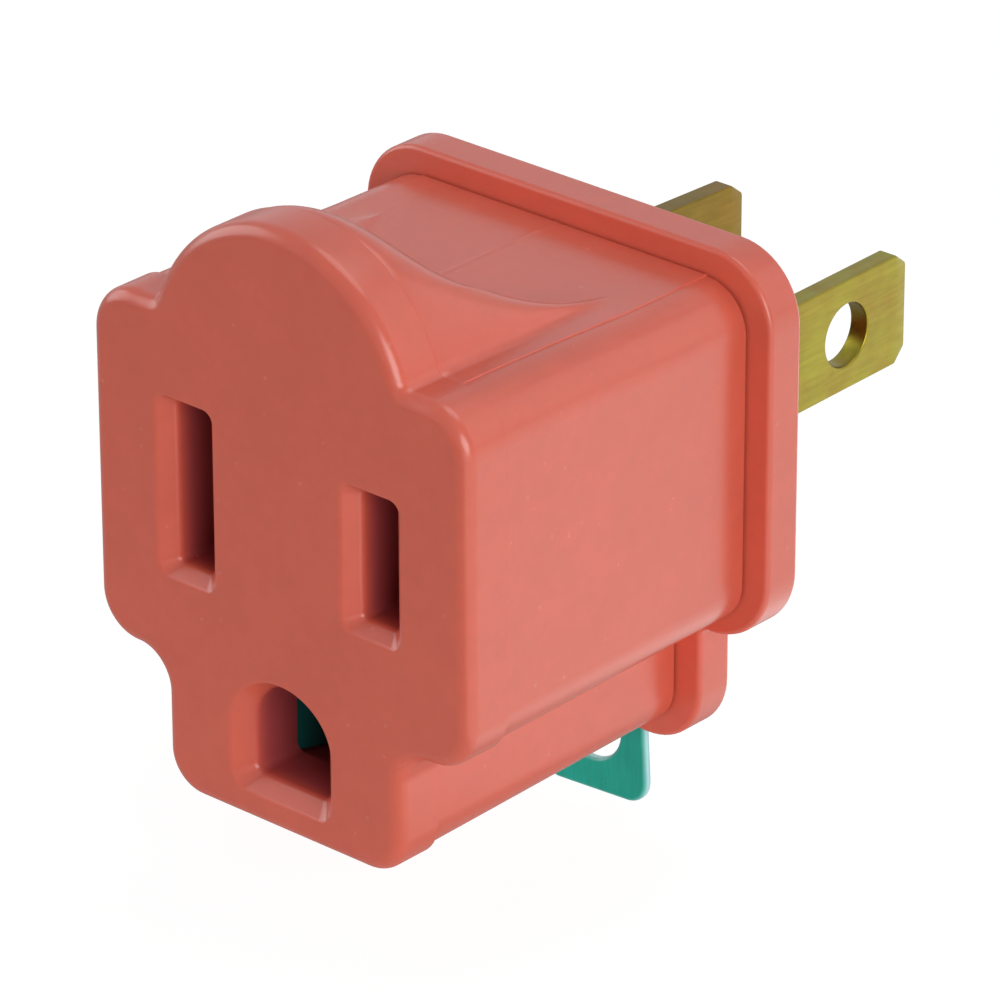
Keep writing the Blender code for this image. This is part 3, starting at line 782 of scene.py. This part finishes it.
def slotRows(side, halfHeight):
    # rounded rectangle that grows more sideways and downwards than upwards
    def outline(grow):
        top = halfHeight + opening["topShare"] * grow
        bottom = -halfHeight - opening["bottomShare"] * grow
        return boxRows(side * bladePlace, column((top + bottom) / 2), opening["slotHalfWidth"] + grow,
                       (top - bottom) / 2, opening["slotCorner"] + grow / 2, 9)
    return outline


def groundRows(grow):
    # half circle over a flat bottom with small corners
    width = opening["groundHalfWidth"] + grow
    radius = opening["groundCorner"] + grow / 2
    rise = opening["groundHalfWidth"] + opening["topShare"] * grow
    bottom = strapHeight - opening["bottomShare"] * grow
    arch = arcRows(0, 0, 1, 180, 0, 49) * np.stack([width, rise], axis=-1)[:, None, :]
    return joinRows([arch - np.array([0, shared["groundDrop"]]),
                     arcRows(width - radius, bottom + radius, radius, 0, -90, 9),
                     arcRows(radius - width, bottom + radius, radius, -90, -180, 9)])


def straightTool(name, outline, low, high):
    # the same outline from end to end along y
    return loftObject(name, np.repeat(outline, 2, axis=0), [low, high], "Y")


def makeHousing():
    # one loft from the face's rounded edge over slab, scooped body and lip, then the cuts
    h = housing
    along, inset = roundedLevels(frontY, seamY, h["faceEdge"], h["edgeRings"])
    rounded = inset[:h["edgeRings"] + 1]
    rims = [slabRows(rounded), slabRows(np.array([0.0, h["seamBevelInset"]]))]
    places = [along[:h["edgeRings"] + 1], [seamY - h["seamBevelLength"], seamY]]
    spread = (h["spreadEnd"] / h["scoopHalfWidth"]) ** h["spreadPower"]
    longest = h["scoopLength"] + h["scoopSpread"] * spread
    y = np.append(seamY + longest * np.linspace(0, 1, h["scoopRings"] + 1), bodyEnd)
    rims += [bodyRows(y), tongueRows(np.zeros(2))]
    places += [y, [bodyEnd, rimY]]
    body = loftObject("housing_shell", joinRows([r.transpose(1, 0, 2) for r in rims]).transpose(1, 0, 2),
                      np.concatenate(places), "Y")
    inner = frontY + opening["faceWall"]
    clear = shared["clearance"]
    neutral = slotRows(-1, opening["neutralHalfHeight"])
    hot = slotRows(1, opening["hotHalfHeight"])
    tools = [openingTool("neutralSlot", neutral, opening["slotChamfer"]),
             openingTool("hotSlot", hot, opening["slotChamfer"]),
             openingTool("groundHole", groundRows, opening["groundChamfer"])]
    slitHalfWidth = shared["bladeThickness"] / 2 + clear
    slitStart = rimY - shared["shoulderLength"] - clear
    for side in (-1, 1):
        place = side * bladePlace
        room = boxRows(place, 0, pocket["halfWidth"], pocket["halfHeight"], pocket["corner"])
        tools.append(straightTool("contactPocket", room, inner, rimY + 1))
        slit = boxRows(place, 0, slitHalfWidth, shared["shoulderHalfHeight"] + clear, clear)
        tools.append(straightTool("shoulderSlit", slit, slitStart, rimY + 1))
    core = boxRows(0, 0, pocket["coreHalfWidth"], pocket["coreHalfHeight"], pocket["corner"])
    tools.append(straightTool("corePocket", core, rimY - pocket["coreLength"], rimY + 1))
    floorZ = strapHeight - shared["sheet"] / 2 - clear
    room = boxRows(0, (pocket["groundTop"] + floorZ) / 2, pocket["groundHalfWidth"],
                   (pocket["groundTop"] - floorZ) / 2, pocket["corner"])
    tools.append(straightTool("groundPocket", room, inner, rimY + 1))
    cut(body, tools)
    finishPiece(body, plastic, "front_housing")


# Rear cover: plate a little larger than the body, with a recess for the lip and exits for the metal

cover = dict(
    underside=-10.75,
    lobeHalfWidth=9.5,
    corner=3.9,
    lobeCorner=3.6,
    innerFillet=0.75,
    edge=0.30,
    edgeRings=8,
    recess=0.6,
    channelLean=3.3,         # degrees, as the tab hangs
    channelHalfWidth=4.05,
)


def coverRows(inset):
    # the cover's outline, moved in by the inset all round
    c = cover
    inset = np.asarray(inset, float)
    top = coverHigh[2] - inset
    side = insertEdge(top, top)
    return tRows(coverHigh[0] - inset, top, c["underside"] + inset, c["lobeHalfWidth"] - inset,
                 coverLow[2] + inset, c["corner"] - inset, c["corner"] - inset, c["innerFillet"] + inset,
                 c["lobeCorner"] - inset, joinRows([mirrored(side), side]))


def makeCover():
    # rounded plate, cut by the recess, the three exits and the tab's channel
    along, inset = roundedLevels(coverLow[1], coverHigh[1], cover["edge"], cover["edgeRings"])
    plate = loftObject("cover_plate", coverRows(inset), along, "Y")
    clear = shared["clearance"]
    web = coverFace + cover["recess"]
    tools = [straightTool("recess", tongueRows(np.array([clear])), coverFace - 1, web)]
    exitHalfWidth = shared["bladeThickness"] / 2 + clear
    for side, halfHeight in ((-1, blade["neutralHalfHeight"]), (1, blade["hotHalfHeight"])):
        gap = boxRows(side * bladePlace, 0, exitHalfWidth, halfHeight + clear, clear / 2)
        tools.append(straightTool("bladeExit", gap, web - 1, 1))
    halfWidth = shared["leafPlace"] + shared["sheet"] / 2 + clear
    gap = boxRows(0, strapHeight, halfWidth, shared["sheet"] / 2 + clear, clear / 2)
    tools.append(straightTool("strapExit", gap, web - 1, 1))
    top = strapHeight + shared["sheet"] / 2 + clear
    bottom = coverLow[2] - 1
    w = cover["channelHalfWidth"] + (strapHeight - bottom) * math.tan(math.radians(cover["channelLean"]))
    channel = np.array([[[-w, bottom], [w, bottom], [w, top], [-w, top]]])
    tools.append(straightTool("tabChannel", channel, -shared["sheet"] - clear, 1))
    cut(plate, tools)
    finishPiece(plate, coverPlastic, "rear_cover")


# Blades: stamped brass with cut tip corners, a hole, shoulders and tail inside, leaning in a little

blade = dict(
    neutralHalfHeight=3.97,
    hotHalfHeight=3.175,
    neutralToeIn=2.9,        # degrees towards the other blade
    hotToeIn=1.3,
    holePlace=12.8,
    holeRadius=1.8,
    rivetRadius=1.15,
    tailLength=6.4,
    tailHalfHeight=2.2,
    tipCutLength=1.0,
    tipCutHeight=0.75,
    tipTaperLength=1.0,
    tipTaperShare=0.75,      # thickness left at the very tip
    cornerRound=0.30,
    edgeRound=0.10,
    holeRim=0.12,
    rivetHoleRim=0.05,
)


def makeBlade(name, node, side, halfHeight, toeIn, tip, material):
    # upper outline and its mirror image, pushed through the thickness and drilled; then each point
    # moves towards the middle by its share of the tip's taper, and sideways by the toe-in
    b = blade
    shoulder = rimY - shared["shoulderLength"]
    tailEnd = shoulder - b["tailLength"]
    tall = shared["shoulderHalfHeight"]
    upper = np.array([(tip, halfHeight - b["tipCutHeight"]), (tip - b["tipCutLength"], halfHeight),
                      (rimY, halfHeight), (rimY, tall), (shoulder, tall),
                      (shoulder, b["tailHalfHeight"]), (tailEnd, b["tailHalfHeight"])])
    corners = np.concatenate([upper, (upper * [1, -1])[::-1]])
    middle = side * bladePlace
    half = shared["bladeThickness"] / 2
    faces = (middle - half, middle + half)
    outline = roundedPolygon(corners, b["cornerRound"], 7)
    plate = plateObject(name, outline, "X", *faces, b["edgeRound"], 4)
    rivetPlace = shoulder - b["tailLength"] / 2
    cut(plate, [holeTool("bladeHole", b["holePlace"], 0, b["holeRadius"], "X", *faces, b["holeRim"]),
                holeTool("rivetHole", rivetPlace, 0, b["rivetRadius"], "X", *faces, b["rivetHoleRim"], 48)])
    taperStart = tip - b["tipTaperLength"]
    bm = bmesh.new()
    bm.from_mesh(plate.data)
    for place in (0.0, taperStart):      # rows of points where the toe-in and the taper start
        parts = bm.verts[:] + bm.edges[:] + bm.faces[:]
        level = (0, place * millimetre, 0)
        bmesh.ops.bisect_plane(bm, geom=parts, dist=1e-8, plane_co=level, plane_no=(0, 1, 0))
    bm.to_mesh(plate.data)
    bm.free()
    points = readPoints(plate.data)
    travel = np.clip((points[:, 1] - taperStart) / b["tipTaperLength"], 0, 1)
    points[:, 0] = middle + (points[:, 0] - middle) * (1 - (1 - b["tipTaperShare"]) * travel)
    points[:, 0] -= side * math.tan(math.radians(toeIn)) * np.maximum(points[:, 1], 0)
    plate.data.vertices.foreach_set("co", (points * millimetre).astype(np.float32).ravel())
    plate.data.update()
    finishPiece(plate, material, node, 25)


# Ground strap: base plate, two jaws and the tab, folded from one green sheet

strap = dict(
    entryGap=0.25,           # jaws to the back of the face wall
    leafLength=11.0,
    leafTop=-9.7,
    baseStart=5.0,
    throatDepth=2.1,
    throatGap=4.0,
    flare=3.2,
    bendRadius=0.6,
    tabHalfWidth=3.8,
    tabTop=-16.0,
    tabBottom=-24.12,
    tabCorner=1.4,
    tabLean=3.3,             # degrees
    holeHeight=-20.1,
    holeRadius=2.1,
    edgeRound=0.24,
    holeRim=0.24,
    innerRound=0.08,         # edges of the base and the jaws
    rimHighlightStrength=1.0,             # how strongly the painted highlight lightens the rolled edges
)


def leaned(points):
    # turned by the tab's lean about the strap's height
    c, s = math.cos(math.radians(strap["tabLean"])), math.sin(math.radians(strap["tabLean"]))
    x, z = points[..., 0], points[..., 1] - strapHeight
    return np.stack([x * c - z * s, strapHeight + x * s + z * c], axis=-1)


def makeGroundStrap():
    # base sheet with its bend, two jaws and the leaning tab, joined, then the screw hole
    s = strap
    sheet = shared["sheet"]
    half = sheet / 2
    place = shared["leafPlace"]
    entry = frontY + opening["faceWall"] + s["entryGap"]
    bend = arcRows(-half - s["bendRadius"], strapHeight - s["bendRadius"], s["bendRadius"], 90, 0, 9)[0]
    path = np.concatenate([[(entry + s["baseStart"], strapHeight)], bend,
                           [(-half, s["tabTop"] - s["tabCorner"])]])
    base = sheetObject("ground_metalwork", path, "X", -place - half, place + half, sheet, s["innerRound"])
    parts = []
    for side in (-1, 1):
        leaf = [(side * place, entry + s["leafLength"]), (side * place, entry + s["baseStart"]),
                (side * (s["throatGap"] / 2 + half), entry + s["throatDepth"]), (side * s["flare"], entry)]
        jaw = sheetObject("groundJaw", leaf, "Z", strapHeight - half, s["leafTop"], sheet, s["innerRound"])
        parts.append(jaw)
    w = s["tabHalfWidth"]
    corners = np.array([(w, s["tabTop"]), (w, s["tabBottom"]), (-w, s["tabBottom"]), (-w, s["tabTop"])])
    cornerRounds = [half, s["tabCorner"], s["tabCorner"], half]
    outline = leaned(roundedPolygon(corners, cornerRounds, 12))
    parts.append(plateObject("groundTab", outline, "Y", -sheet, 0, s["edgeRound"], 6))
    cut(base, parts, "UNION")
    hole = leaned(np.array([0.0, s["holeHeight"]]))
    cut(base, [holeTool("tabHole", hole[0], hole[1], s["holeRadius"], "Y", -sheet, 0, s["holeRim"])])
    # rim, a painted highlight: one on the tab's rounded edges and in its hole, nothing on its flat faces
    points = readPoints(base.data)
    deep = np.minimum(-points[:, 1], points[:, 1] + sheet) / s["edgeRound"]
    onTab = points[:, 2] < s["tabTop"]
    mark = base.data.attributes.new("rim", "FLOAT", "POINT")
    mark.data.foreach_set("value", (np.clip(deep, 0, 1) * onTab * s["rimHighlightStrength"]).astype(np.float32))
    finishPiece(base, greenCoat, "ground_strap", 40)


makeHousing()
makeCover()
# the neutral blade takes the darker brass, painted shade
makeBlade("neutral_brass", "neutral_blade", -1, blade["neutralHalfHeight"], blade["neutralToeIn"],
          neutralTip, shadedBrass)
makeBlade("hot_brass", "hot_blade", 1, blade["hotHalfHeight"], blade["hotToeIn"], hotTip, brass)
makeGroundStrap()

# What stays from the frame gets its finish through its own slots
kept = dict(neutral_contact=bronze, hot_contact=bronze, neutral_rivet=rivetMetal, hot_rivet=rivetMetal)
for name, material in kept.items():
    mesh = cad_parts[name].data
    mesh.materials.clear()
    mesh.materials.append(material)
print("pieces made")


# Studio: white surroundings, pale floor, soft lamps, camera where the photograph was taken from

studio = dict(
    azimuth=41.683,
    elevation=25.777,
    roll=-0.119,
    right=-4.932,            # camera's place along its own right, up and back, in millimetres
    up=-6.483,
    back=366.897,
    lens=252.0,
    ambient=0.16,
    reflected=(0.86, 0.88, 0.93),
    floorGap=0.02,
    floorReach=3.0,          # metres from the middle, as the lengths below
    floorColour=0.3,
    floorAxis=(0.90, 0.43, 0),
    floorTurn=(0.008, 0.018),    # places along that axis where the mirrored floor changes
    floorMirrored=(0.25, 1.5),   # its brightness on either side
    bounceTurn=(0.05, 0.10),     # distances where the floor's light changes
    bounce=(0.55, 0.20),         # its strength close to the part and further off
    seenColour=0.20,         # the camera sees this colour under the lamps
    seenGlow=0.90,           # and this glow added, so the floor is white with a faint shadow
)


def makeCamera():
    # axes from azimuth and elevation, turned by the roll; the place is so far along each of them
    a, e, r = (math.radians(studio[key]) for key in ("azimuth", "elevation", "roll"))
    back = Vector((math.sin(a) * math.cos(e), -math.cos(a) * math.cos(e), math.sin(e)))
    level = Vector((math.cos(a), math.sin(a), 0))
    rise = back.cross(level)
    right = level * math.cos(r) + rise * math.sin(r)
    up = rise * math.cos(r) - level * math.sin(r)
    place = (right * studio["right"] + up * studio["up"] + back * studio["back"]) * millimetre
    data = bpy.data.cameras.new("camera")
    data.lens = studio["lens"]
    data.sensor_width = 36.0
    data.clip_start = 0.01
    camera = makeObject("camera", data)
    rows = [(right[i], up[i], back[i], place[i]) for i in range(3)]
    camera.matrix_world = Matrix(rows + [(0, 0, 0, 1)])
    bpy.context.scene.camera = camera


def mixShaders(tree, factor, first, second, output):
    # the first where the factor is zero, the second where it is one
    mix = addNode(tree, "ShaderNodeMixShader")
    for socket, given in zip(mix.inputs, (factor, first.outputs[0], second.outputs[0])):
        tree.links.new(given, socket)
    tree.links.new(mix.outputs[0], tree.nodes[output].inputs["Surface"])


def makeWorld():
    # white where the camera looks, a little cooler and darker in reflections, and dim as light
    world = bpy.data.worlds.new("surroundings")
    bpy.context.scene.world = world
    world.use_nodes = True
    tree = world.node_tree
    light = tree.nodes["Background"]
    setInputs(light, Color=(1, 1, 1, 1), Strength=studio["ambient"])
    white = addNode(tree, "ShaderNodeBackground")
    rays = addNode(tree, "ShaderNodeLightPath")
    setInputs(white, Strength=1.0)
    tint = blendColour(tree, rays.outputs["Is Glossy Ray"], (1, 1, 1, 1), (*studio["reflected"], 1))
    tree.links.new(tint, white.inputs["Color"])
    seen = mathNode(tree, "MAXIMUM", rays.outputs["Is Camera Ray"], rays.outputs["Is Glossy Ray"])
    seen = mathNode(tree, "MAXIMUM", seen, rays.outputs["Is Transmission Ray"])
    mixShaders(tree, seen, light, white, "World Output")


def makeFloor():
    # pale floor that keeps a faint soft shadow and that the camera sees white
    z = (strapLow[2] - studio["floorGap"]) * millimetre
    span = studio["floorReach"]
    mesh = bpy.data.meshes.new("floor")
    corners = [(-span, -span, z), (span, -span, z), (span, span, z), (-span, span, z)]
    mesh.from_pydata(corners, [], [(0, 1, 2, 3)])
    floor = makeObject("floor", mesh)
    material = bpy.data.materials.new("paleFloor")
    material.use_nodes = True
    tree = material.node_tree
    shader = tree.nodes["Principled BSDF"]
    setInputs(shader, **{"Base Color": (*[studio["floorColour"]] * 3, 1), "Roughness": 1.0,
                         "Specular IOR Level": 0.0, "Emission Color": (1, 1, 1, 1)})
    # mirrored, it grows brighter from front left to back right; as light it is strongest close by
    place = addNode(tree, "ShaderNodeTexCoord").outputs["Object"]
    along = addNode(tree, "ShaderNodeVectorMath", operation="DOT_PRODUCT")
    along.inputs[1].default_value = studio["floorAxis"]
    tree.links.new(place, along.inputs[0])
    mirroredLevel = rangeNode(tree, along.outputs["Value"], *studio["floorTurn"], *studio["floorMirrored"])
    away = addNode(tree, "ShaderNodeVectorMath", operation="LENGTH")
    tree.links.new(place, away.inputs[0])
    bounce = rangeNode(tree, away.outputs["Value"], *studio["bounceTurn"], *studio["bounce"])
    rays = addNode(tree, "ShaderNodeLightPath")
    level = rangeNode(tree, rays.outputs["Is Glossy Ray"], 0, 1, bounce, mirroredLevel)
    tree.links.new(level, shader.inputs["Emission Strength"])
    plain = addNode(tree, "ShaderNodeBsdfDiffuse")
    setInputs(plain, Color=(*[studio["seenColour"]] * 3, 1))
    glow = addNode(tree, "ShaderNodeEmission")
    setInputs(glow, Color=(1, 1, 1, 1), Strength=studio["seenGlow"])
    bright = addNode(tree, "ShaderNodeAddShader")
    tree.links.new(plain.outputs[0], bright.inputs[0])
    tree.links.new(glow.outputs[0], bright.inputs[1])
    mixShaders(tree, rays.outputs["Is Camera Ray"], shader, bright, "Material Output")
    mesh.materials.append(material)


# Round lamps: direction from the part's middle, distance and diameter in metres, power in watts
softboxes = dict(
    right=dict(direction=(0.84, -0.46, 0.29), distance=0.30, size=0.19, watts=0.475),
    left=dict(direction=(-0.85, -0.37, 0.36), distance=0.30, size=0.24, watts=0.33),
    overhead=dict(direction=(0.10, 0.25, 0.96), distance=0.35, size=0.25, watts=0.32),
    behind=dict(direction=(0.58, 0.67, 0.46), distance=0.30, size=0.26, watts=0.11),
)


def makeLamps():
    # each lamp stands so far along its direction and faces the middle
    centre = Vector((cadBounds[0] + cadBounds[1]) / 2)
    for name, box in softboxes.items():
        data = bpy.data.lights.new(name, "AREA")
        data.shape = "DISK"
        data.size = box["size"]
        data.energy = box["watts"]
        lamp = makeObject(name, data)
        away = Vector(box["direction"]).normalized()
        lamp.location = centre + away * box["distance"]
        lamp.rotation_mode = "QUATERNION"
        lamp.rotation_quaternion = away.to_track_quat("Z", "Y")
        lamp.visible_camera = False


makeCamera()
makeWorld()
makeFloor()
makeLamps()
bpy.context.scene.view_settings.view_transform = "Standard"
print("studio made")
